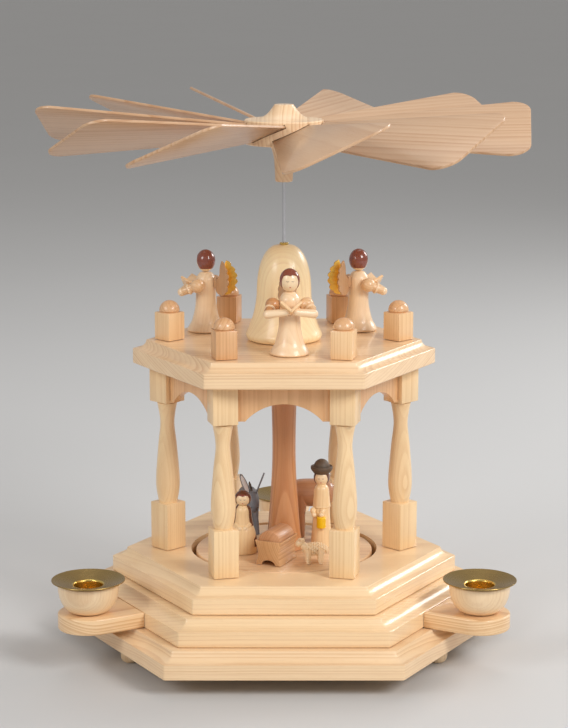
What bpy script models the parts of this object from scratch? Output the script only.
"""A one-tier candle carousel in turned and moulded wood.

Three stacked hexagonal boards carry six turned pillars and a deck. A thin steel shaft stands in a brass
cup in the middle board. It carries the turntable with its figures, runs up through the trunk, the deck
and the bell, and ends in the hub of a fan with ten slanted blades. Three arms hold the candles, whose
warm air turns the fan. Metres, +Z up, origin on the axis in the base board's underside, so that the
feet reach below it. The front is at -Y.
"""

import math

import bmesh
import bpy
from mathutils import Euler, Matrix, Vector

# Clearances
GAP = 0.0003
OVERRUN = 0.004
MERGE = 0.00001

# Shading: edges sharper than this stay sharp
SMOOTH_ANGLE_DEG = 35

# Fineness of the round forms
ROUND_STEPS = 36
TURNED_STEPS = 18
SLENDER_STEPS = 10
SMALL_STEPS = 12
FIGURE_STEPS = 11
LIMB_STEPS = 8
BALL_STEPS = 9
BALL_RINGS = 5
COVE_STEPS = 4

# The hexagonal boards
SIDES = 6
BOARD_THICKNESS = 0.0148
FASCIA_HEIGHT = 0.0094
COVE_INSET = 0.0090
PLINTH_RADIUS = 0.1366
MIDDLE_RADIUS = 0.1214
UPPER_RADIUS = 0.1056
DECK_RADIUS = 0.0916
DECK_THICKNESS = 0.0144
DECK_FASCIA_HEIGHT = 0.0091
DECK_COVE_INSET = 0.0083

# Feet
FOOT_HEIGHT = 0.0110
FOOT_RADIUS = 0.0057
FOOT_FLAT_RADIUS = 0.0024
FOOT_ROUND_HEIGHT = 0.0045
FOOT_PEG_LENGTH = 0.0050
FOOT_INSET = 0.0123

# Candle arms, bowls and dishes
ARM_ANGLES_DEG = (210, 330, 90)
ARM_HALF_WIDTH = 0.0182
ARM_STRAIGHT = 0.0271
ARM_EDGE_ROUND = 0.0006
ARM_TURN_STEPS = 12
TENON_RADIUS = 0.0030
TENON_LENGTH = 0.0120
BOWL_RADIUS = 0.0179
BOWL_FOOT_RADIUS = 0.0085
BOWL_HEIGHT = 0.0175
BOWL_STRAIGHT = 0.0022
BOWL_ARC_STEPS = 5
DISH_RADIUS = 0.0220
DISH_SHEET = 0.0007
DISH_RISE = 0.0031
DISH_EDGE_ROUND = 0.0009
CANDLE_RADIUS = 0.0085
CANDLE_CUP_DEPTH = 0.0120

# Pillars, aprons and posts
PILLAR_CIRCLE_RADIUS = 0.0710
PILLAR_HEIGHT = 0.1148
BLOCK_SIDE = 0.0150
BLOCK_TURN_DEG = 45
LOWER_BLOCK_HEIGHT = 0.0287
UPPER_BLOCK_HEIGHT = 0.0249
PILLAR_FOOT_RADIUS = 0.0056
PILLAR_SWELL_RADIUS = 0.0073
PILLAR_NECK_RADIUS = 0.0043
PILLAR_CAP_RADIUS = 0.0061
PILLAR_GROOVE_RADIUS = 0.0049
PILLAR_GROOVE_HEIGHT = 0.0007
PILLAR_SWELL_SHARE = 0.20
PILLAR_WAIST_SHARE = 0.55
PILLAR_NECK_SHARE = 0.80
PILLAR_CURVE_STEPS = 2
APRON_THICKNESS = 0.0050
APRON_DROP = 0.0218
ARCH_HALF_WIDTH = 0.0229
ARCH_RISE = 0.0103
ARCH_STEPS = 9
POST_INSET = 0.0226
POST_SIDE = 0.0128
POST_HEIGHT = 0.0167
FINIAL_RADIUS = 0.0062
FINIAL_HEIGHT = 0.0071
FINIAL_STEPS = 4

# Shaft and its bearings
SHAFT_RADIUS = 0.0010
SHAFT_POINT_LENGTH = 0.0030
CUP_RADIUS = 0.0050
CUP_FLANGE_RADIUS = 0.0075
CUP_FLANGE_THICKNESS = 0.0010
CUP_DEPTH = 0.0060
CUP_WELL_RADIUS = 0.0022
CUP_FLOOR = 0.0020
RUNNING_GAP = 0.0003
BUSH_RADIUS = 0.0019
BUSH_FLANGE_RADIUS = 0.0027
BUSH_FLANGE_THICKNESS = 0.0010
BUSH_LENGTH = 0.0060
DECK_BORE_RADIUS = 0.0025

# Turntable and trunk
WELL_RADIUS = 0.0570
TURNTABLE_RADIUS = 0.0540
TURNTABLE_THICKNESS = 0.0060
TURNTABLE_SINK = 0.0004
TURNTABLE_CHAMFER = 0.0005
TRUNK_FOOT_RADIUS = 0.0120
TRUNK_KNEE_RADIUS = 0.0098
TRUNK_WAIST_RADIUS = 0.0071
TRUNK_TOP_RADIUS = 0.0083
TRUNK_CLEARANCE = 0.0029
TRUNK_KNEE_SHARE = 0.12
TRUNK_WAIST_SHARE = 0.52
TRUNK_CURVE_STEPS = 2

# Bell
BELL_HEIGHT = 0.0575
BELL_FOOT_RADIUS = 0.0229
BELL_WAIST_RADIUS = 0.0163
BELL_BORE_RADIUS = 0.0022
BELL_FOOT_SHARES = ((1.0, 0.06), (0.965, 0.015), (0.90, 0.0))
BELL_FLARE_SHARES = ((1.02, 0.44), (1.13, 0.27), (1.30, 0.13))
BELL_CROWN_SHARES = ((0.20, 1.0), (0.42, 0.985), (0.66, 0.925), (0.85, 0.82), (0.96, 0.69), (1.0, 0.56))
BELL_CURVE_STEPS = 1

# Hub and blades of the fan
FREE_SHAFT_LENGTH = 0.0367
BLADE_COUNT = 10
BLADE_TIP_RADIUS = 0.1460
BLADE_ROOT_RADIUS = 0.0160
BLADE_GAUGE_RADIUS = 0.0240
BLADE_GAUGE_HALF_CHORD = 0.01225
BLADE_TIP_HALF_CHORD = 0.0320
BLADE_THICKNESS = 0.0017
BLADE_LOW_CORNER_RADIUS = 0.0130
BLADE_HIGH_CORNER_RADIUS = 0.0110
BLADE_CORNER_STEPS = 4
BLADE_PITCH_DEG = 25.5
BLADE_RISE_DEG = 1.5
FIRST_BLADE_DEG = -6.0
BLADE_TURN_OFFSETS_DEG = (0, -3, 1, 2, -1, 0, 3, -2, 0, 0)
BLADE_PITCH_OFFSETS_DEG = (0, 0, -3, 2, 0, 0, -1, 0, 0, 1)
HUB_RADIUS = 0.0235
HUB_RIM_TOP = 0.0077
HUB_RIM_BOTTOM = 0.0068
HUB_CROWN_HEIGHT = 0.0165
HUB_CROWN_RADIUS = 0.0056
HUB_NECK_RADIUS = 0.0085
HUB_NECK_DROP = 0.0078
HUB_STEM_RADIUS = 0.0052
HUB_STEM_LENGTH = 0.0292
HUB_BORE_DEPTH = 0.0184
HUB_STEPS = 24
HUB_CURVE_STEPS = 2
HUB_DISH_SHARES = ((0.72, 0.09), (0.48, 0.30), (0.29, 0.63))
HUB_STEM_SHARES = ((0.55, 0.15), (0.22, 0.42))

# Angels and their wings
ANGEL_ANGLES_DEG = (-86, 149, 35)
ANGEL_OUTWARD_SHARES = (0.38, 0.646, 0.646)
ANGEL_HEIGHT = 0.0514
ANGEL_HEM_RADIUS = 0.0115
ANGEL_WAIST_RADIUS = 0.0063
ANGEL_CHEST_RADIUS = 0.0060
ANGEL_NECK_RADIUS = 0.0026
ANGEL_HEAD_RADIUS = 0.0055
ANGEL_HEAD_HALF_HEIGHT = 0.0065
HAIR_THICKNESS = 0.0004
SLEEVE_RADIUS = 0.0043
SLEEVE_SPREAD = 0.0099
SLEEVE_HEIGHT_SHARE = 0.565
SLEEVE_STEPS = 6
UPPER_ARM_RADIUS = 0.0030
CUFF_RADIUS = 0.0035
CUFF_THICKNESS = 0.0014
CUFF_REACH_SHARE = 0.45
ELBOW_HEIGHT_SHARE = 0.487
ELBOW_SPREAD = 0.0134
ELBOW_REACH = 0.0089
ELBOW_RADIUS = 0.0026
HAND_HEIGHT_SHARE = 0.52
HAND_SPREAD = 0.0024
HAND_REACH = 0.0120
HAND_RADIUS = 0.0021
BOOK_WIDTH = 0.0083
BOOK_LENGTH = 0.0092
BOOK_THICKNESS = 0.0012
BOOK_LEAN_DEG = 68
BOOK_OPENING_DEG = 43
ROBE_HEM_SHARES = ((1.0, 0.03), (0.985, 0.0))
ROBE_FLARE_SHARES = ((0.60, 0.26), (0.75, 0.13))
ROBE_CURVE_STEPS = 1
WING_LENGTH = 0.0215
WING_WIDTH = 0.0130
WING_THICKNESS = 0.0010
WING_SPREAD_DEG = 21
WING_ROOT_SHARE = 0.25
WING_TIP_SHARE = 0.33
WING_HEIGHT_SHARE = 0.655
WING_SCALLOPS = 5
WING_SCALLOP_STEPS = 3
WING_SCALLOP_DEPTH = 0.0009
WING_SPINE_SIDE = 0.0022
WING_SPINE_HEIGHT = 0.0060

# Standing figure
STANDING_PLACE = (0.0231, 0.0040)
STANDING_FACING_DEG = -97
STANDING_HEIGHT = 0.0547
ROBE_FOOT_RADIUS = 0.0067
ROBE_TOP_RADIUS = 0.0050
CAPE_HEM_RADIUS = 0.0056
CAPE_SHOULDER_RADIUS = 0.0043
CAPE_NECK_RADIUS = 0.0024
CAPE_HEM_SHARE = 0.445
CAPE_SHOULDER_SHARE = 0.665
CAPE_CURVE_STEPS = 3
FIGURE_HEAD_RADIUS = 0.0046
HAT_BRIM_RADIUS = 0.0067
HAT_CROWN_RADIUS = 0.0050
HAT_HEIGHT = 0.0093
HAT_BRIM_SHARE = 0.45
HAT_CROWN_END_DEG = 12
FIST_RADIUS = 0.0021
FIST_SPREAD = 0.0040
FIST_HEIGHT_SHARE = 0.385
LANTERN_SIDE = 0.0005
LANTERN_RADIUS = 0.0029
LANTERN_HEIGHT = 0.0067
LANTERN_HANG = 0.0015

# Kneeling figure
KNEELING_PLACE = (-0.0250, -0.0100)
KNEELING_FACING_DEG = -92
KNEELING_HEIGHT = 0.0385
SKIRT_RADIUS = 0.0087
SKIRT_TOP_RADIUS = 0.0052
SKIRT_HEIGHT = 0.0170
BODICE_HEM_RADIUS = 0.0053
BODICE_SHOULDER_RADIUS = 0.0040
BODICE_CURVE_STEPS = 2
MANTLE_THICKNESS = 0.0007
HAND_BALL_RADIUS = 0.0014

# Crib
CRIB_PLACE = (-0.0040, -0.0292)
CRIB_HEADING_DEG = 66
CRIB_LENGTH = 0.0240
CRIB_TOP_WIDTH = 0.0147
CRIB_WAIST_WIDTH = 0.0118
CRIB_FOOT_WIDTH = 0.0142
CRIB_HEIGHT = 0.0146
CRIB_WAIST_SHARE = 0.52
CRIB_WALL = 0.0010
CRIB_END_WALL = 0.0011
CRIB_HOLLOW_DEPTH = 0.0022
CRIB_ARCH_HALF_WIDTH = 0.0046
CRIB_ARCH_RISE = 0.0030
CRIB_SIDE_STEPS = 4
MOUND_RADIUS = 0.0060

# Lamb, ox and donkey: each is a body with four legs, a neck and a head
LAMB_PLACE = (0.0182, -0.0345)
LAMB_FACING_DEG = 184
LAMB_BACK_HEIGHT = 0.0124
LAMB_LENGTH = 0.0150
LAMB_GIRTH = 0.0075
LAMB_LEG_RADIUS = 0.0013
LAMB_HEAD_LENGTH = 0.0062
LAMB_HEAD_GIRTH = 0.0050
LAMB_HEAD_HEIGHT = 0.0125
LAMB_HEAD_TILT_DEG = 35
LAMB_EAR_DROOP_DEG = 100
OX_PLACE = (0.0170, 0.0290)
OX_FACING_DEG = -2
OX_BACK_HEIGHT = 0.0357
OX_LENGTH = 0.0300
OX_GIRTH = 0.0175
OX_LEG_RADIUS = 0.0024
OX_HEAD_LENGTH = 0.0135
OX_HEAD_GIRTH = 0.0080
OX_HEAD_HEIGHT = 0.0270
OX_HEAD_TILT_DEG = 28
DONKEY_PLACE = (-0.0225, 0.0330)
DONKEY_FACING_DEG = -78
DONKEY_BACK_HEIGHT = 0.0300
DONKEY_LENGTH = 0.0230
DONKEY_GIRTH = 0.0125
DONKEY_LEG_RADIUS = 0.0018
DONKEY_HEAD_LENGTH = 0.0150
DONKEY_HEAD_GIRTH = 0.0085
DONKEY_HEAD_HEIGHT = 0.0260
DONKEY_HEAD_TILT_DEG = 55
DONKEY_EAR_SPREAD_DEG = 22
EAR_THICKNESS = 0.0010
HORN_LENGTH = 0.0060
HORN_RADIUS = 0.0011
DONKEY_EAR_LENGTH = 0.0145
DONKEY_EAR_WIDTH = 0.0042
SMALL_EAR_LENGTH = 0.0040
SMALL_EAR_WIDTH = 0.0024

# Heights that follow from the stack
PLINTH_Z = 0.0
MIDDLE_Z = PLINTH_Z + BOARD_THICKNESS + GAP
UPPER_Z = MIDDLE_Z + BOARD_THICKNESS + GAP
STAGE_Z = UPPER_Z + BOARD_THICKNESS
PILLAR_Z = STAGE_Z + GAP
DECK_Z = PILLAR_Z + PILLAR_HEIGHT + GAP
DECK_TOP_Z = DECK_Z + DECK_THICKNESS
TURNTABLE_TOP_Z = STAGE_Z - TURNTABLE_SINK
FIGURE_Z = TURNTABLE_TOP_Z + GAP
BELL_Z = DECK_TOP_Z + GAP
ARM_Z = MIDDLE_Z
ARM_THICKNESS = FASCIA_HEIGHT
BOWL_Z = ARM_Z + ARM_THICKNESS + GAP
CUP_Z = MIDDLE_Z + BOARD_THICKNESS - CUP_DEPTH
BUSH_TOP_Z = BELL_Z + BELL_HEIGHT + GAP + BUSH_FLANGE_THICKNESS
FAN_Z = BUSH_TOP_Z + FREE_SHAFT_LENGTH + HUB_STEM_LENGTH

# Distances from the axis that follow from the boards
FLAT_SHARE = math.cos(math.pi / SIDES)
FOOT_CIRCLE_RADIUS = PLINTH_RADIUS * FLAT_SHARE - FOOT_INSET
ARM_START = MIDDLE_RADIUS * FLAT_SHARE + GAP
CANDLE_CIRCLE_RADIUS = ARM_START + ARM_STRAIGHT
POST_CIRCLE_RADIUS = DECK_RADIUS - POST_INSET
ANGEL_NEAREST = BELL_FOOT_RADIUS + ANGEL_HEM_RADIUS
ANGEL_FARTHEST = DECK_RADIUS * FLAT_SHARE - ANGEL_HEM_RADIUS

# Colours: base colour, roughness, metallic
FINISHES = {
    "pale_wood": ((0.83, 0.60, 0.33), 0.42, 0.0),
    "dark_wood": ((0.50, 0.25, 0.10), 0.42, 0.0),
    "brass": ((0.60, 0.45, 0.18), 0.25, 1.0),
    "gold": ((0.90, 0.58, 0.12), 0.30, 0.6),
    "steel": ((0.60, 0.60, 0.62), 0.25, 1.0),
    "wool": ((0.86, 0.68, 0.42), 0.70, 0.0),
    "brown_paint": ((0.28, 0.12, 0.06), 0.35, 0.0),
    "grey_paint": ((0.16, 0.15, 0.16), 0.45, 0.0),
}


def start_scene():
    """Empties the scene and makes the collection for the parts and the one for helper shapes."""
    for old in list(bpy.data.objects):
        bpy.data.objects.remove(old)
    collections = []
    for name in ("candle_carousel", "cutters"):
        made = bpy.data.collections.new(name)
        bpy.context.scene.collection.children.link(made)
        collections.append(made)
    return collections


def make_finish(name):
    colour, roughness, metallic = FINISHES[name]
    material = bpy.data.materials.new(name)
    material.use_nodes = True
    shader = material.node_tree.nodes["Principled BSDF"]
    shader.inputs["Base Color"].default_value = (*colour, 1.0)
    shader.inputs["Roughness"].default_value = roughness
    shader.inputs["Metallic"].default_value = metallic
    material.diffuse_color = (*colour, 1.0)
    return material


PARTS, CUTTERS = start_scene()
MATERIALS = {name: make_finish(name) for name in FINISHES}


def helper(mesh):
    """A helper shape: drawn as wire, and left out of the model."""
    obj = bpy.data.objects.new("shape", mesh)
    CUTTERS.objects.link(obj)
    obj.hide_render = True
    obj.display_type = "WIRE"
    return obj


def from_bmesh(shape, matrix):
    mesh = bpy.data.meshes.new("shape")
    shape.to_mesh(mesh)
    shape.free()
    mesh.transform(matrix)
    return helper(mesh)


def settled(obj):
    """The mesh that an object's modifiers make. The object itself is removed."""
    graph = bpy.context.evaluated_depsgraph_get()
    mesh = bpy.data.meshes.new_from_object(obj.evaluated_get(graph), depsgraph=graph)
    mesh.transform(obj.matrix_world)
    bpy.data.objects.remove(obj)
    return mesh


def weld(mesh):
    shape = bmesh.new()
    shape.from_mesh(mesh)
    bmesh.ops.remove_doubles(shape, verts=shape.verts, dist=MERGE)
    bmesh.ops.recalc_face_normals(shape, faces=shape.faces)
    shape.to_mesh(mesh)
    shape.free()
    return mesh


def arc(centre, radii, start_deg, end_deg, steps):
    """Points along an elliptical arc, both ends included."""
    points = []
    for step in range(steps + 1):
        angle = math.radians(start_deg + (end_deg - start_deg) * step / steps)
        points.append((centre[0] + radii[0] * math.cos(angle), centre[1] + radii[1] * math.sin(angle)))
    return points


def smooth(points, steps):
    """A smooth curve through the given points, with this many steps between neighbours."""
    padded = [points[0], *points, points[-1]]
    curve = [Vector(points[0])]
    for i in range(len(points) - 1):
        before, start, end, after = (Vector(p) for p in padded[i : i + 4])
        for step in range(1, steps + 1):
            t = step / steps
            pull = (end - before) * t + (2 * before - 5 * start + 4 * end - after) * t**2
            bend = (3 * start - before - 3 * end + after) * t**3
            curve.append(start + (pull + bend) / 2)
    return [tuple(point) for point in curve]


def turned(profile, steps, matrix=None, closed=False):
    """A turned shape from (radius, height) points that run down its outer side."""
    mesh = bpy.data.meshes.new("profile")
    edges = [(i, i + 1) for i in range(len(profile) - 1)]
    if closed:
        edges.append((len(profile) - 1, 0))
    mesh.from_pydata([(radius, 0, height) for radius, height in profile], edges, [])
    obj = helper(mesh)
    screw = obj.modifiers.new("Turn", "SCREW")
    screw.steps = screw.render_steps = steps
    screw.use_merge_vertices = True
    screw.merge_threshold = MERGE
    made = helper(weld(settled(obj)))
    if matrix:
        made.data.transform(matrix)
    return made


def box(size, centre, matrix=None):
    shape = bmesh.new()
    bmesh.ops.create_cube(shape, size=1.0)
    place = Matrix.Translation(centre) @ Matrix.Diagonal((*size, 1.0))
    return from_bmesh(shape, (matrix or Matrix()) @ place)


def ball(radii, centre, matrix=None):
    shape = bmesh.new()
    bmesh.ops.create_uvsphere(shape, u_segments=BALL_STEPS, v_segments=BALL_RINGS, radius=1.0)
    place = Matrix.Translation(centre) @ (matrix or Matrix()) @ Matrix.Diagonal((*radii, 1.0))
    return from_bmesh(shape, place)


def rod(start, end, start_radius, end_radius, steps=LIMB_STEPS):
    """A straight round bar between two points, tapered if the radii differ."""
    run = Vector(end) - Vector(start)
    shape = bmesh.new()
    bmesh.ops.create_cone(
        shape, cap_ends=True, segments=steps, radius1=start_radius, radius2=end_radius, depth=run.length
    )
    turn = run.to_track_quat("Z", "Y").to_matrix().to_4x4()
    return from_bmesh(shape, Matrix.Translation((Vector(start) + Vector(end)) / 2) @ turn)


def plate(outline, thickness, matrix=None, edge_round=0.0):
    """A flat outline in the XY plane, as thick above the plane as below it."""
    curve = bpy.data.curves.new("outline", "CURVE")
    curve.dimensions = "2D"
    curve.fill_mode = "BOTH"
    curve.extrude = thickness / 2 - edge_round
    curve.bevel_depth = edge_round
    curve.bevel_resolution = 0
    curve.offset = -edge_round
    spline = curve.splines.new("POLY")
    spline.points.add(len(outline) - 1)
    for point, (x, y) in zip(spline.points, outline):
        point.co = (x, y, 0, 1)
    spline.use_cyclic_u = True
    obj = bpy.data.objects.new("outline", curve)
    CUTTERS.objects.link(obj)
    made = helper(weld(settled(obj)))
    if matrix:
        made.data.transform(matrix)
    return made


def combined(base, others, operation):
    """One mesh from a base shape and the shapes that are joined to it or cut from it."""
    group = bpy.data.collections.new(operation.lower())
    CUTTERS.children.link(group)
    for other in others:
        CUTTERS.objects.unlink(other)
        group.objects.link(other)
    step = base.modifiers.new(operation.title(), "BOOLEAN")
    step.operation = operation
    step.operand_type = "COLLECTION"
    step.collection = group
    step.solver = "EXACT"
    result = helper(weld(settled(base)))
    for other in others:
        bpy.data.objects.remove(other)
    bpy.data.collections.remove(group)
    return result


def joined(base, *others):
    return combined(base, others, "UNION")


def cut(base, *others):
    return combined(base, others, "DIFFERENCE")


def turn_x(degrees):
    return Matrix.Rotation(math.radians(degrees), 4, "X")


def turn_y(degrees):
    return Matrix.Rotation(math.radians(degrees), 4, "Y")


def turn_z(degrees):
    return Matrix.Rotation(math.radians(degrees), 4, "Z")


def turned_by(angles):
    """The rotation that an object has with these angles about X, Y and Z."""
    return Euler([math.radians(angle) for angle in angles]).to_matrix().to_4x4()


def around(radius, degrees, z=0.0):
    angle = math.radians(degrees)
    return (radius * math.cos(angle), radius * math.sin(angle), z)


def mesh_of(shape, finish):
    """A helper shape's mesh, shaded and with its finish, ready for one piece or several."""
    mesh = settled(shape)
    mesh.shade_smooth()
    mesh.set_sharp_from_angle(angle=math.radians(SMOOTH_ANGLE_DEG))
    mesh.materials.clear()
    mesh.materials.append(MATERIALS[finish])
    return mesh


def piece(name, mesh, parent=None, place=(0, 0, 0), turn=(0, 0, 0)):
    mesh.name = name
    obj = bpy.data.objects.new(name, mesh)
    PARTS.objects.link(obj)
    obj.parent = parent
    obj.location = place
    obj.rotation_euler = Euler([math.radians(angle) for angle in turn])
    return obj


def axis_empty(name, z, parent=None):
    obj = bpy.data.objects.new(name, None)
    PARTS.objects.link(obj)
    obj.parent = parent
    obj.location = (0, 0, z)
    return obj


def moulded_board(radius, z, thickness, fascia, inset):
    """A solid hexagonal board: an upright fascia below, and a hollow moulding that rises to its top."""
    top = z + thickness
    cove = arc((radius, top), (inset, thickness - fascia), 180, 270, COVE_STEPS)
    return turned([(0, top), *cove, (radius, z), (0, z)], SIDES)


def upright_hole(radius, low, high, steps):
    """The shape of a bore on the axis."""
    return turned([(0, high), (radius, high), (radius, low), (0, low)], steps)


def make_base_board():
    board = moulded_board(PLINTH_RADIUS, PLINTH_Z, BOARD_THICKNESS, FASCIA_HEIGHT, COVE_INSET)
    peg_top = PLINTH_Z + FOOT_PEG_LENGTH
    bottom = PLINTH_Z - FOOT_HEIGHT
    round_size = (FOOT_RADIUS - FOOT_FLAT_RADIUS, FOOT_ROUND_HEIGHT)
    toe = arc((FOOT_FLAT_RADIUS, bottom + FOOT_ROUND_HEIGHT), round_size, 0, -90, COVE_STEPS)
    foot = [(0, peg_top), (FOOT_RADIUS, peg_top), *toe, (0, bottom)]
    feet = [
        turned(foot, SMALL_STEPS, Matrix.Translation(around(FOOT_CIRCLE_RADIUS, angle)))
        for angle in ARM_ANGLES_DEG
    ]
    piece("base_board", mesh_of(joined(board, *feet), "pale_wood"))


def make_middle_board():
    board = moulded_board(MIDDLE_RADIUS, MIDDLE_Z, BOARD_THICKNESS, FASCIA_HEIGHT, COVE_INSET)
    top = MIDDLE_Z + BOARD_THICKNESS
    cuts = [upright_hole(CUP_RADIUS + GAP, CUP_Z - GAP, top + OVERRUN, SMALL_STEPS)]
    bore = TENON_RADIUS + GAP
    height = ARM_Z + ARM_THICKNESS / 2
    for angle in ARM_ANGLES_DEG:
        start = around(ARM_START - TENON_LENGTH - GAP, angle, height)
        end = around(ARM_START + OVERRUN, angle, height)
        cuts.append(rod(start, end, bore, bore, SMALL_STEPS))
    piece("middle_board", mesh_of(cut(board, *cuts), "pale_wood"))


def make_upper_board():
    board = moulded_board(UPPER_RADIUS, UPPER_Z, BOARD_THICKNESS, FASCIA_HEIGHT, COVE_INSET)
    well = upright_hole(WELL_RADIUS, UPPER_Z - OVERRUN, STAGE_Z + OVERRUN, ROUND_STEPS)
    piece("upper_board", mesh_of(cut(board, well), "pale_wood"))


def make_deck():
    board = moulded_board(DECK_RADIUS, DECK_Z, DECK_THICKNESS, DECK_FASCIA_HEIGHT, DECK_COVE_INSET)
    bore = upright_hole(DECK_BORE_RADIUS, DECK_Z - OVERRUN, DECK_TOP_Z + OVERRUN, SMALL_STEPS)
    piece("deck", mesh_of(cut(board, bore), "pale_wood"))


def make_candle_arms():
    """Each arm's outline runs along +X, from the middle board's face to its half-round end."""
    end = arc((CANDLE_CIRCLE_RADIUS, 0), (ARM_HALF_WIDTH, ARM_HALF_WIDTH), -90, 90, ARM_TURN_STEPS)
    outline = [(ARM_START, -ARM_HALF_WIDTH), *end, (ARM_START, ARM_HALF_WIDTH)]
    arm = plate(outline, ARM_THICKNESS, edge_round=ARM_EDGE_ROUND)
    tenon_ends = ((ARM_START - TENON_LENGTH, 0, 0), (ARM_START + OVERRUN, 0, 0))
    tenon = rod(*tenon_ends, TENON_RADIUS, TENON_RADIUS, SMALL_STEPS)
    mesh = mesh_of(joined(arm, tenon), "pale_wood")
    for number, angle in enumerate(ARM_ANGLES_DEG, 1):
        piece(f"candle_arm_{number}", mesh, None, (0, 0, ARM_Z + ARM_THICKNESS / 2), (0, 0, angle))


def bowl_profile():
    """From the pocket's floor, up its wall, over the sloping lip and down the round outside."""
    arc_height = BOWL_HEIGHT - BOWL_STRAIGHT
    arc_width = BOWL_RADIUS - BOWL_FOOT_RADIUS
    side = arc((BOWL_FOOT_RADIUS, arc_height), (arc_width, arc_height), 0, -90, BOWL_ARC_STEPS)
    pocket = CANDLE_RADIUS + DISH_SHEET + GAP
    slope = DISH_RISE / (DISH_RADIUS - CANDLE_RADIUS)
    lip = BOWL_HEIGHT - (BOWL_RADIUS - pocket) * slope
    floor = lip - CANDLE_CUP_DEPTH - DISH_SHEET
    return [(0, floor), (pocket, floor), (pocket, lip), (BOWL_RADIUS, BOWL_HEIGHT), *side, (0, 0)], lip, floor


def dish_profile(lip, floor):
    """One sheet of brass: the candle cup's inside, the wide cone, its rim, and back along the underside."""
    slope = DISH_RISE / (DISH_RADIUS - CANDLE_RADIUS)
    outer = CANDLE_RADIUS + DISH_SHEET
    under = lip + GAP
    bottom = floor + GAP
    rim = under + (DISH_RADIUS - outer) * slope
    top = under + DISH_SHEET
    edge = CANDLE_RADIUS + DISH_EDGE_ROUND
    inside = [(0, bottom + DISH_SHEET), (CANDLE_RADIUS, bottom + DISH_SHEET)]
    inside += [(CANDLE_RADIUS, top - DISH_EDGE_ROUND), (edge, top + DISH_EDGE_ROUND * slope)]
    outside = [(DISH_RADIUS, rim + DISH_SHEET), (DISH_RADIUS, rim)]
    outside += [(outer, under), (outer, bottom), (0, bottom)]
    return inside + outside


def make_candle_holders():
    profile, lip, floor = bowl_profile()
    bowl = mesh_of(turned(profile, TURNED_STEPS), "pale_wood")
    dish = mesh_of(turned(dish_profile(lip, floor), TURNED_STEPS), "brass")
    for number, angle in enumerate(ARM_ANGLES_DEG, 1):
        place = around(CANDLE_CIRCLE_RADIUS, angle, BOWL_Z)
        piece(f"candle_bowl_{number}", bowl, None, place)
        piece(f"candle_dish_{number}", dish, None, place)


def pillar_mesh():
    """A square block at each end and a turned vase between them, standing on z = 0."""
    low = LOWER_BLOCK_HEIGHT
    high = PILLAR_HEIGHT - UPPER_BLOCK_HEIGHT
    length = high - low - PILLAR_GROOVE_HEIGHT
    cap = high - PILLAR_GROOVE_HEIGHT
    vase = smooth(
        [
            (PILLAR_CAP_RADIUS, cap),
            (PILLAR_NECK_RADIUS, low + length * PILLAR_NECK_SHARE),
            ((PILLAR_NECK_RADIUS + PILLAR_SWELL_RADIUS) / 2, low + length * PILLAR_WAIST_SHARE),
            (PILLAR_SWELL_RADIUS, low + length * PILLAR_SWELL_SHARE),
            (PILLAR_FOOT_RADIUS, low),
        ],
        PILLAR_CURVE_STEPS,
    )
    groove = [(0, high + GAP), (PILLAR_GROOVE_RADIUS, high + GAP), (PILLAR_GROOVE_RADIUS, cap)]
    body = turned([*groove, *vase, (PILLAR_FOOT_RADIUS, low - GAP), (0, low - GAP)], SLENDER_STEPS)
    blocks = [
        box((BLOCK_SIDE, BLOCK_SIDE, height), (0, 0, bottom + height / 2))
        for bottom, height in ((0, LOWER_BLOCK_HEIGHT), (high, UPPER_BLOCK_HEIGHT))
    ]
    return mesh_of(joined(body, *blocks), "pale_wood")


def corner_angles():
    return [360 / SIDES * k for k in range(SIDES)]


def make_pillars():
    """The blocks stand with a corner outwards, so each is turned an eighth past its place."""
    mesh = pillar_mesh()
    for number, angle in enumerate(corner_angles(), 1):
        place = around(PILLAR_CIRCLE_RADIUS, angle, PILLAR_Z)
        piece(f"pillar_{number}", mesh, None, place, (0, 0, angle + BLOCK_TURN_DEG))


def apron_mesh():
    """An arched rail between two pillars. It lies along X, with its ends cut to the blocks' faces."""
    half = PILLAR_CIRCLE_RADIUS * math.sin(math.pi / SIDES)
    bottom = -APRON_DROP
    radius = (ARCH_HALF_WIDTH**2 + ARCH_RISE**2) / (2 * ARCH_RISE)
    reach = math.degrees(math.asin(ARCH_HALF_WIDTH / radius))
    centre = (0, bottom + ARCH_RISE - radius)
    arch = arc(centre, (radius, radius), 90 + reach, 90 - reach, ARCH_STEPS)
    outline = [(-half, 0), (-half, bottom), *arch, (half, bottom), (half, 0)]
    stand_up = turn_x(90)
    side = BLOCK_SIDE + 2 * GAP
    skew = BLOCK_TURN_DEG - 180 / SIDES
    cutters = []
    for way in (-1, 1):
        place = Matrix.Translation((way * half, 0, 0)) @ turn_z(way * skew)
        cutters.append(box((side, side, 2 * (APRON_DROP + OVERRUN)), (0, 0, 0), place))
    return mesh_of(cut(plate(outline, APRON_THICKNESS, stand_up), *cutters), "pale_wood")


def make_aprons():
    mesh = apron_mesh()
    distance = PILLAR_CIRCLE_RADIUS * FLAT_SHARE
    for number, angle in enumerate(corner_angles(), 1):
        middle = angle + 180 / SIDES
        piece(f"apron_{number}", mesh, None, around(distance, middle, DECK_Z - GAP), (0, 0, middle - 90))


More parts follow.
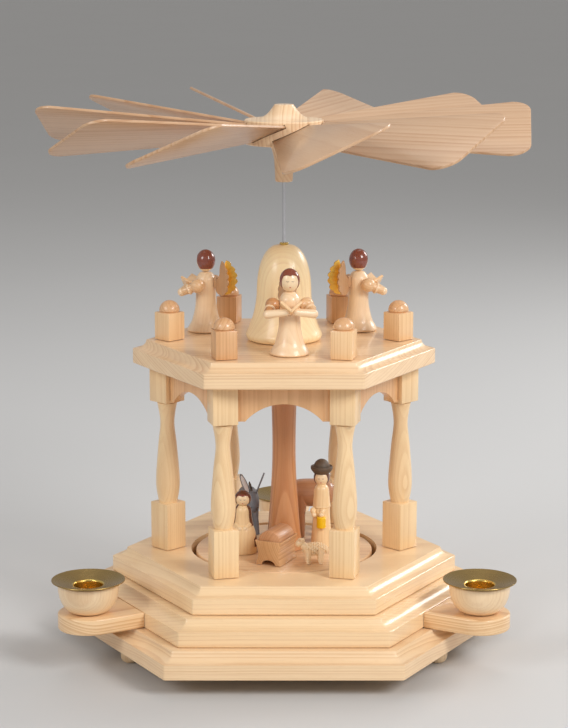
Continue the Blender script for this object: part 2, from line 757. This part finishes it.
def make_posts():
    block = box((POST_SIDE, POST_SIDE, POST_HEIGHT), (0, 0, POST_HEIGHT / 2))
    straight = FINIAL_HEIGHT - FINIAL_RADIUS
    base = POST_HEIGHT + straight
    dome = arc((0, base), (FINIAL_RADIUS, FINIAL_RADIUS), 90, 0, FINIAL_STEPS)
    foot = FINIAL_RADIUS - straight / 2
    sunk = POST_HEIGHT - GAP
    finial = turned([*dome, (foot, POST_HEIGHT), (foot, sunk), (0, sunk)], SLENDER_STEPS)
    mesh = mesh_of(joined(block, finial), "pale_wood")
    for number, angle in enumerate(corner_angles(), 1):
        place = around(POST_CIRCLE_RADIUS, angle, DECK_TOP_Z + GAP)
        piece(f"post_{number}", mesh, None, place, (0, 0, angle + BLOCK_TURN_DEG))


def make_bell():
    crown = [(share * BELL_WAIST_RADIUS, height * BELL_HEIGHT) for share, height in BELL_CROWN_SHARES]
    flare = [(share * BELL_WAIST_RADIUS, height * BELL_HEIGHT) for share, height in BELL_FLARE_SHARES]
    foot = [(share * BELL_FOOT_RADIUS, height * BELL_HEIGHT) for share, height in BELL_FOOT_SHARES]
    outside = smooth([*crown, *flare, *foot], BELL_CURVE_STEPS)
    bore = [(BELL_BORE_RADIUS, 0), (BELL_BORE_RADIUS, BELL_HEIGHT)]
    bell = turned([*outside, *bore], TURNED_STEPS, closed=True)
    piece("bell", mesh_of(bell, "pale_wood"), None, (0, 0, BELL_Z))
    bore_radius = SHAFT_RADIUS + RUNNING_GAP
    top = BELL_HEIGHT + GAP + BUSH_FLANGE_THICKNESS
    under = BELL_HEIGHT + GAP
    bush = [(bore_radius, top), (BUSH_FLANGE_RADIUS, top), (BUSH_FLANGE_RADIUS, under), (BUSH_RADIUS, under)]
    bush += [(BUSH_RADIUS, under - BUSH_LENGTH), (bore_radius, under - BUSH_LENGTH)]
    piece("bell_bush", mesh_of(turned(bush, SMALL_STEPS, closed=True), "brass"), None, (0, 0, BELL_Z))


def make_bearing_cup():
    """A flanged cup let into the middle board, with a well for the shaft's point."""
    top = CUP_DEPTH + GAP + CUP_FLANGE_THICKNESS
    under = CUP_DEPTH + GAP
    profile = [(0, CUP_FLOOR), (CUP_WELL_RADIUS, CUP_FLOOR + CUP_WELL_RADIUS), (CUP_WELL_RADIUS, top)]
    profile += [(CUP_FLANGE_RADIUS, top), (CUP_FLANGE_RADIUS, under)]
    profile += [(CUP_RADIUS, under), (CUP_RADIUS, 0), (0, 0)]
    piece("bearing_cup", mesh_of(turned(profile, SMALL_STEPS), "brass"), None, (0, 0, CUP_Z))


def wood_on_shaft(profile, steps):
    """A turned piece with the shaft's bore through it, from the points down its outer side."""
    bore = SHAFT_RADIUS + GAP
    return turned([*profile, (bore, profile[-1][1]), (bore, profile[0][1])], steps, closed=True)


def make_turning_column(rotor):
    tip = CUP_Z + CUP_FLOOR + 2 * RUNNING_GAP
    top = FAN_Z - HUB_STEM_LENGTH + HUB_BORE_DEPTH - GAP
    shaft = [(0, top), (SHAFT_RADIUS, top), (SHAFT_RADIUS, tip + SHAFT_POINT_LENGTH), (0, tip)]
    piece("shaft", mesh_of(turned(shaft, SMALL_STEPS), "steel"), rotor)
    chamfer = TURNTABLE_CHAMFER
    low = TURNTABLE_TOP_Z - TURNTABLE_THICKNESS
    disc = [
        (TURNTABLE_RADIUS - chamfer, TURNTABLE_TOP_Z),
        (TURNTABLE_RADIUS, TURNTABLE_TOP_Z - chamfer),
        (TURNTABLE_RADIUS, low + chamfer),
        (TURNTABLE_RADIUS - chamfer, low),
    ]
    piece("turntable", mesh_of(wood_on_shaft(disc, ROUND_STEPS), "pale_wood"), rotor)
    height = DECK_Z - TRUNK_CLEARANCE - FIGURE_Z
    trunk = smooth(
        [
            (TRUNK_TOP_RADIUS, FIGURE_Z + height),
            (TRUNK_WAIST_RADIUS, FIGURE_Z + height * TRUNK_WAIST_SHARE),
            (TRUNK_KNEE_RADIUS, FIGURE_Z + height * TRUNK_KNEE_SHARE),
            (TRUNK_FOOT_RADIUS, FIGURE_Z),
        ],
        TRUNK_CURVE_STEPS,
    )
    piece("trunk", mesh_of(wood_on_shaft(trunk, TURNED_STEPS), "dark_wood"), rotor)


def blade_half_chord(radius):
    """The blade's edges are straight and spread from the hub to the tip."""
    spread = (BLADE_TIP_HALF_CHORD - BLADE_GAUGE_HALF_CHORD) / (BLADE_TIP_RADIUS - BLADE_GAUGE_RADIUS)
    return BLADE_GAUGE_HALF_CHORD + (radius - BLADE_GAUGE_RADIUS) * spread


def blade_outline():
    """X runs outwards and Y across the blade, from its low edge to its high edge."""
    root = blade_half_chord(BLADE_ROOT_RADIUS)
    tip = BLADE_TIP_RADIUS
    low = BLADE_LOW_CORNER_RADIUS
    high = BLADE_HIGH_CORNER_RADIUS
    low_corner = arc((tip - low, low - blade_half_chord(tip)), (low, low), -90, 0, BLADE_CORNER_STEPS)
    high_corner = arc((tip - high, blade_half_chord(tip) - high), (high, high), 0, 90, BLADE_CORNER_STEPS)
    return [(BLADE_ROOT_RADIUS, -root), *low_corner, *high_corner, (BLADE_ROOT_RADIUS, root)]


def slot_outline():
    """The part of the blade's outline that lies in the hub, with clearance all round."""
    start = BLADE_ROOT_RADIUS - GAP
    end = HUB_RADIUS + OVERRUN
    near = blade_half_chord(start) + GAP
    far = blade_half_chord(end) + GAP
    return [(start, -near), (end, -far), (end, far), (start, near)]


def blade_turn(number):
    """Pitch about the blade's own length, then its slight rise, then its place round the hub."""
    pitch = BLADE_PITCH_DEG + BLADE_PITCH_OFFSETS_DEG[number % len(BLADE_PITCH_OFFSETS_DEG)]
    offset = BLADE_TURN_OFFSETS_DEG[number % len(BLADE_TURN_OFFSETS_DEG)]
    return (pitch, -BLADE_RISE_DEG, FIRST_BLADE_DEG + 360 / BLADE_COUNT * number + offset)


def make_hub(fan):
    """Turned with a dished top, a thick rim and a stem, bored blind for the shaft and sawn for the blades."""
    dish_depth = HUB_CROWN_HEIGHT - HUB_RIM_TOP
    dish = [(share * HUB_RADIUS, HUB_RIM_TOP + depth * dish_depth) for share, depth in HUB_DISH_SHARES]
    top = smooth([(HUB_RADIUS, HUB_RIM_TOP), *dish, (HUB_CROWN_RADIUS, HUB_CROWN_HEIGHT)], HUB_CURVE_STEPS)
    stem_length = HUB_STEM_LENGTH - HUB_NECK_DROP
    taper = HUB_NECK_RADIUS - HUB_STEM_RADIUS
    neck = [(HUB_NECK_RADIUS, -HUB_NECK_DROP)]
    for share, drop in HUB_STEM_SHARES:
        neck.append((HUB_STEM_RADIUS + share * taper, -HUB_NECK_DROP - drop * stem_length))
    stem = smooth([*neck, (HUB_STEM_RADIUS, -HUB_STEM_LENGTH)], HUB_CURVE_STEPS)
    bore = SHAFT_RADIUS + GAP
    blind = HUB_BORE_DEPTH - HUB_STEM_LENGTH
    profile = [(0, HUB_CROWN_HEIGHT), *reversed(top), (HUB_RADIUS, -HUB_RIM_BOTTOM), *stem]
    profile += [(bore, -HUB_STEM_LENGTH), (bore, blind), (0, blind)]
    width = BLADE_THICKNESS + 2 * GAP
    slots = [plate(slot_outline(), width, turned_by(blade_turn(k))) for k in range(BLADE_COUNT)]
    piece("hub", mesh_of(cut(turned(profile, HUB_STEPS), *slots), "pale_wood"), fan)


def make_blades(fan):
    mesh = mesh_of(plate(blade_outline(), BLADE_THICKNESS), "pale_wood")
    for number in range(BLADE_COUNT):
        piece(f"blade_{number + 1}", mesh, fan, (0, 0, 0), blade_turn(number))


def head_with_hair(radius, half_height, z):
    """A ball head, and a hair cap a little larger that sits up and back on it."""
    face = ball((radius, radius, half_height), (0, 0, z))
    hair = ball(
        (radius + HAIR_THICKNESS, radius, half_height),
        (0, 2 * HAIR_THICKNESS, z + HAIR_THICKNESS),
    )
    return [face, hair]


def open_book(z, reach):
    """Two boards that open upwards from a spine, which lies outwards from the chest and rises."""
    lean = turn_x(BOOK_LEAN_DEG)
    boards = []
    for way in (-1, 1):
        swing = turn_z(way * BOOK_OPENING_DEG)
        centre = (way * BOOK_WIDTH / 2, 0, BOOK_LENGTH / 2)
        place = Matrix.Translation((0, -reach, z)) @ lean @ swing
        boards.append(box((BOOK_WIDTH + BOOK_THICKNESS, BOOK_THICKNESS, BOOK_LENGTH), centre, place))
    return boards


def angel_mesh():
    """Faces -Y and stands on z = 0."""
    head_z = ANGEL_HEIGHT - ANGEL_HEAD_HALF_HEIGHT - HAIR_THICKNESS
    shoulder = head_z - ANGEL_HEAD_HALF_HEIGHT
    flare = [(share * ANGEL_HEM_RADIUS, rise * ANGEL_HEIGHT) for share, rise in ROBE_FLARE_SHARES]
    hem = [(share * ANGEL_HEM_RADIUS, rise * ANGEL_HEIGHT) for share, rise in ROBE_HEM_SHARES]
    sleeve_z = SLEEVE_HEIGHT_SHARE * ANGEL_HEIGHT
    elbow_z = ELBOW_HEIGHT_SHARE * ANGEL_HEIGHT
    hand_z = HAND_HEIGHT_SHARE * ANGEL_HEIGHT
    robe = smooth(
        [
            (ANGEL_NECK_RADIUS, shoulder + ANGEL_NECK_RADIUS / 2),
            (ANGEL_CHEST_RADIUS - HAIR_THICKNESS, shoulder - ANGEL_NECK_RADIUS),
            (ANGEL_CHEST_RADIUS, sleeve_z),
            (ANGEL_WAIST_RADIUS, elbow_z - ANGEL_WAIST_RADIUS),
            *flare,
            *hem,
        ],
        ROBE_CURVE_STEPS,
    )
    shapes = head_with_hair(ANGEL_HEAD_RADIUS, ANGEL_HEAD_HALF_HEIGHT, head_z)
    for way in (-1, 1):
        sleeve = Vector((way * SLEEVE_SPREAD, 0, sleeve_z))
        elbow = Vector((way * ELBOW_SPREAD, -ELBOW_REACH, elbow_z))
        hand = Vector((way * HAND_SPREAD, -HAND_REACH, hand_z))
        cuff = sleeve.lerp(elbow, CUFF_REACH_SHARE)
        cuff_end = cuff + (elbow - sleeve).normalized() * CUFF_THICKNESS
        shapes.append(ball((SLEEVE_RADIUS,) * 3, sleeve))
        shapes.append(rod(sleeve, elbow, UPPER_ARM_RADIUS, ELBOW_RADIUS, SLEEVE_STEPS))
        shapes.append(rod(cuff, cuff_end, CUFF_RADIUS, CUFF_RADIUS, SLEEVE_STEPS))
        shapes.append(rod(elbow, hand, ELBOW_RADIUS, HAND_RADIUS, SLEEVE_STEPS))
    shapes += open_book(hand_z - HAND_RADIUS, HAND_REACH - 2 * HAND_RADIUS)
    body = turned([(0, robe[0][1]), *robe, (0, 0)], FIGURE_STEPS)
    return mesh_of(joined(body, *shapes), "pale_wood")


def wing_outline():
    """X runs outwards from the back and Y upwards: a pointed wing with a scalloped outer edge."""
    half = WING_LENGTH / 2
    tip = WING_TIP_SHARE * WING_WIDTH
    count = WING_SCALLOPS * WING_SCALLOP_STEPS
    outer = []
    for step in range(count + 1):
        angle = math.pi * (step / count - 0.5)
        feather = abs(math.sin(math.pi * step / WING_SCALLOP_STEPS)) * WING_SCALLOP_DEPTH
        outer.append((tip + (WING_WIDTH - tip + feather) * math.cos(angle), half * math.sin(angle)))
    root = WING_ROOT_SHARE * half
    return [*outer, (0, root), (-WING_SPINE_SIDE / 2, root), (-WING_SPINE_SIDE / 2, -root), (0, -root)]


def wings_mesh():
    """A pair of wings spread from one spine, which lies along Z through the origin. They open to +Y."""
    stand_up = turn_x(90)
    turns = [turn_z(90 + way * WING_SPREAD_DEG) for way in (-1, 1)]
    wings = [plate(wing_outline(), WING_THICKNESS, turn @ stand_up) for turn in turns]
    spine = box((WING_SPINE_SIDE, WING_SPINE_SIDE, WING_SPINE_HEIGHT), (0, 0, 0))
    return mesh_of(joined(spine, *wings), "gold")


def make_angels():
    body = angel_mesh()
    wings = wings_mesh()
    back = ANGEL_CHEST_RADIUS + GAP + WING_SPINE_SIDE / 2
    for number, (angle, share) in enumerate(zip(ANGEL_ANGLES_DEG, ANGEL_OUTWARD_SHARES), 1):
        radius = ANGEL_NEAREST + share * (ANGEL_FARTHEST - ANGEL_NEAREST)
        turn = (0, 0, angle + 90)
        piece(f"angel_{number}", body, None, around(radius, angle, BELL_Z), turn)
        height = BELL_Z + WING_HEIGHT_SHARE * ANGEL_HEIGHT
        piece(f"angel_wings_{number}", wings, None, around(radius - back, angle, height), turn)


def make_standing_figure(rotor):
    height = STANDING_HEIGHT
    hem = CAPE_HEM_SHARE * height
    shoulder = CAPE_SHOULDER_SHARE * height
    head_z = height - HAT_HEIGHT - FIGURE_HEAD_RADIUS / 2
    neck = head_z - FIGURE_HEAD_RADIUS
    brim = height - HAT_HEIGHT * (1 - HAT_BRIM_SHARE)
    robe = [(0, hem + GAP), (ROBE_TOP_RADIUS, hem + GAP), (ROBE_FOOT_RADIUS, 0), (0, 0)]
    cape_line = [(CAPE_NECK_RADIUS, neck), (CAPE_SHOULDER_RADIUS, shoulder), (CAPE_HEM_RADIUS, hem)]
    cape = [(0, neck + GAP), *smooth(cape_line, CAPE_CURVE_STEPS), (0, hem)]
    crown = arc((0, brim), (HAT_CROWN_RADIUS, height - brim), 90, HAT_CROWN_END_DEG, FINIAL_STEPS)
    hat = [*crown, (HAT_BRIM_RADIUS, brim), (HAT_CROWN_RADIUS, height - HAT_HEIGHT), (0, height - HAT_HEIGHT)]
    fist_z = FIST_HEIGHT_SHARE * height
    top = fist_z - FIST_RADIUS + 2 * GAP
    bottom = top - LANTERN_HEIGHT
    lantern = [(0, top), (LANTERN_RADIUS, top), (LANTERN_RADIUS, bottom), (0, bottom)]
    lantern_y = -CAPE_HEM_RADIUS - LANTERN_HANG / 2
    shapes = [
        turned(cape, FIGURE_STEPS),
        turned(hat, FIGURE_STEPS),
        ball((FIGURE_HEAD_RADIUS,) * 3, (0, 0, head_z)),
        ball((FIST_RADIUS,) * 3, (-FIST_SPREAD, -CAPE_HEM_RADIUS, fist_z)),
        ball((FIST_RADIUS,) * 3, (LANTERN_SIDE, -CAPE_HEM_RADIUS, fist_z)),
        turned(lantern, SMALL_STEPS, Matrix.Translation((LANTERN_SIDE, lantern_y, 0))),
    ]
    mesh = mesh_of(joined(turned(robe, FIGURE_STEPS), *shapes), "pale_wood")
    piece("standing_figure", mesh, rotor, (*STANDING_PLACE, FIGURE_Z), (0, 0, STANDING_FACING_DEG + 90))


def make_kneeling_figure(rotor):
    head_z = KNEELING_HEIGHT - FIGURE_HEAD_RADIUS - HAIR_THICKNESS
    neck = head_z - FIGURE_HEAD_RADIUS
    skirt_width = SKIRT_RADIUS - SKIRT_TOP_RADIUS
    dome = arc((SKIRT_TOP_RADIUS, 0), (skirt_width, SKIRT_HEIGHT), 90, 0, FINIAL_STEPS)
    bodice = smooth(
        [
            (CAPE_NECK_RADIUS, neck),
            (BODICE_SHOULDER_RADIUS, neck - CAPE_NECK_RADIUS),
            (BODICE_HEM_RADIUS, SKIRT_HEIGHT - GAP),
        ],
        BODICE_CURVE_STEPS,
    )
    mantle = [(radius + MANTLE_THICKNESS, z) for radius, z in bodice]
    mantle = [(0, neck), *mantle, (0, SKIRT_HEIGHT - 2 * GAP)]
    shapes = [
        turned([(0, neck + GAP), *bodice, (0, SKIRT_HEIGHT - GAP)], FIGURE_STEPS),
        turned(mantle, FIGURE_STEPS, Matrix.Translation((0, MANTLE_THICKNESS, 0))),
        *head_with_hair(FIGURE_HEAD_RADIUS, FIGURE_HEAD_RADIUS, head_z),
    ]
    for way in (-1, 1):
        hand = (way * HAND_BALL_RADIUS, -SKIRT_TOP_RADIUS, SKIRT_HEIGHT - HAND_BALL_RADIUS)
        shapes.append(ball((HAND_BALL_RADIUS,) * 3, hand))
    skirt = turned([(0, SKIRT_HEIGHT), *dome, (0, 0)], FIGURE_STEPS)
    mesh = mesh_of(joined(skirt, *shapes), "pale_wood")
    piece("kneeling_figure", mesh, rotor, (*KNEELING_PLACE, FIGURE_Z), (0, 0, KNEELING_FACING_DEG + 90))


def make_crib(rotor):
    """A waisted trough on an arched foot, with a half-round mound lying in it."""
    waist = CRIB_WAIST_SHARE * CRIB_HEIGHT
    side = smooth(
        [(CRIB_FOOT_WIDTH / 2, 0), (CRIB_WAIST_WIDTH / 2, waist), (CRIB_TOP_WIDTH / 2, CRIB_HEIGHT)],
        CRIB_SIDE_STEPS,
    )
    arch = arc((0, 0), (CRIB_ARCH_HALF_WIDTH, CRIB_ARCH_RISE), 180, 0, 2 * CRIB_SIDE_STEPS)
    outline = [*side, *((-x, z) for x, z in reversed(side)), *arch]
    stand_up = turn_x(90)
    block = plate(outline, CRIB_LENGTH, stand_up)
    inner_width = CRIB_TOP_WIDTH - 2 * CRIB_WALL
    hollow = box(
        (inner_width, CRIB_LENGTH - 2 * CRIB_END_WALL, 2 * CRIB_HOLLOW_DEPTH),
        (0, 0, CRIB_HEIGHT),
    )
    mound_length = CRIB_LENGTH - 2 * CRIB_END_WALL - 2 * GAP
    mound_z = CRIB_HEIGHT - CRIB_HOLLOW_DEPTH - CRIB_WALL
    wedge = arc((0, CRIB_HEIGHT), (MOUND_RADIUS, MOUND_RADIUS), 0, 180, ARCH_STEPS)
    mound = plate([*wedge, (-MOUND_RADIUS, mound_z), (MOUND_RADIUS, mound_z)], mound_length, stand_up)
    mesh = mesh_of(joined(cut(block, hollow), mound), "dark_wood")
    piece("crib", mesh, rotor, (*CRIB_PLACE, FIGURE_Z), (0, 0, CRIB_HEADING_DEG - 90))


def leaf(length, width, thickness, matrix):
    """A pointed ear, from the origin up +Y."""
    side = arc((0, length / 2), (width / 2, length / 2), -90, 90, BALL_RINGS)
    outline = [*side, *((-x, y) for x, y in side[-2:0:-1])]
    return plate(outline, thickness, matrix)


def head_ball(centre, girth, length, tilt_deg):
    return ball((girth / 2, length / 2, girth / 2), centre, turn_x(tilt_deg))


def animal_shapes(length, girth, back_height, leg_radius, head_girth, head_height):
    """A body on four legs with a neck and a head. It faces -Y and stands on z = 0."""
    body_z = back_height - girth / 2
    reach = length / 2
    step = reach - girth / 2
    shapes = [ball((girth / 2, reach, girth / 2), (0, 0, body_z))]
    for side in (-1, 1):
        for way in (-1, 1):
            foot = (side * (girth / 2 - leg_radius), way * step, 0)
            hip = (side * (girth / 4), way * step, body_z)
            shapes.append(rod(foot, hip, leg_radius, 2 * leg_radius))
    nape = (0, -reach - head_girth / 4, head_height)
    shapes.append(rod((0, -reach / 2, body_z), nape, girth / 3, head_girth / 2))
    return shapes, nape


def make_lamb(rotor):
    shapes, nape = animal_shapes(
        LAMB_LENGTH, LAMB_GIRTH, LAMB_BACK_HEIGHT, LAMB_LEG_RADIUS, LAMB_HEAD_GIRTH, LAMB_HEAD_HEIGHT
    )
    shapes.append(head_ball(nape, LAMB_HEAD_GIRTH, LAMB_HEAD_LENGTH, LAMB_HEAD_TILT_DEG))
    for way in (-1, 1):
        droop = turn_y(way * LAMB_EAR_DROOP_DEG) @ turn_x(-90)
        root = Vector(nape) + Vector((way * LAMB_HEAD_GIRTH / 3, 0, LAMB_HEAD_GIRTH / 4))
        place = Matrix.Translation(root) @ droop
        shapes.append(leaf(SMALL_EAR_LENGTH, SMALL_EAR_WIDTH, EAR_THICKNESS, place))
    mesh = mesh_of(joined(*shapes), "wool")
    piece("lamb", mesh, rotor, (*LAMB_PLACE, FIGURE_Z), (0, 0, LAMB_FACING_DEG + 90))


def make_ox(rotor):
    shapes, nape = animal_shapes(
        OX_LENGTH, OX_GIRTH, OX_BACK_HEIGHT, OX_LEG_RADIUS, OX_HEAD_GIRTH, OX_HEAD_HEIGHT
    )
    centre = Vector(nape) - Vector((0, OX_HEAD_GIRTH / 4, 0))
    shapes.append(head_ball(centre, OX_HEAD_GIRTH, OX_HEAD_LENGTH, OX_HEAD_TILT_DEG))
    for way in (-1, 1):
        root = Vector(nape) + Vector((way * OX_HEAD_GIRTH / 4, 0, OX_HEAD_GIRTH / 4))
        tip = root + Vector((way * HORN_LENGTH / 2, 0, HORN_LENGTH))
        shapes.append(rod(root, tip, HORN_RADIUS, HORN_RADIUS / 2))
    mesh = mesh_of(joined(*shapes), "brown_paint")
    piece("ox", mesh, rotor, (*OX_PLACE, FIGURE_Z), (0, 0, OX_FACING_DEG + 90))


def make_donkey(rotor):
    shapes, nape = animal_shapes(
        DONKEY_LENGTH,
        DONKEY_GIRTH,
        DONKEY_BACK_HEIGHT,
        DONKEY_LEG_RADIUS,
        DONKEY_HEAD_GIRTH,
        DONKEY_HEAD_HEIGHT,
    )
    centre = Vector(nape) - Vector((0, DONKEY_HEAD_GIRTH / 4, DONKEY_HEAD_GIRTH / 4))
    shapes.append(head_ball(centre, DONKEY_HEAD_GIRTH, DONKEY_HEAD_LENGTH, DONKEY_HEAD_TILT_DEG))
    for way in (-1, 1):
        raised = turn_y(way * DONKEY_EAR_SPREAD_DEG) @ turn_x(90)
        root = Vector(nape) + Vector((way * DONKEY_HEAD_GIRTH / 4, 0, DONKEY_HEAD_GIRTH / 4))
        place = Matrix.Translation(root) @ raised
        shapes.append(leaf(DONKEY_EAR_LENGTH, DONKEY_EAR_WIDTH, EAR_THICKNESS, place))
    mesh = mesh_of(joined(*shapes), "grey_paint")
    piece("donkey", mesh, rotor, (*DONKEY_PLACE, FIGURE_Z), (0, 0, DONKEY_FACING_DEG + 90))


def main():
    make_base_board()
    make_middle_board()
    make_upper_board()
    make_bearing_cup()
    make_candle_arms()
    make_candle_holders()
    make_pillars()
    make_aprons()
    make_deck()
    make_posts()
    make_bell()
    make_angels()
    rotor = axis_empty("rotor", 0.0)
    make_turning_column(rotor)
    make_standing_figure(rotor)
    make_kneeling_figure(rotor)
    make_crib(rotor)
    make_lamb(rotor)
    make_ox(rotor)
    make_donkey(rotor)
    fan = axis_empty("fan", FAN_Z, rotor)
    make_hub(fan)
    make_blades(fan)


main()
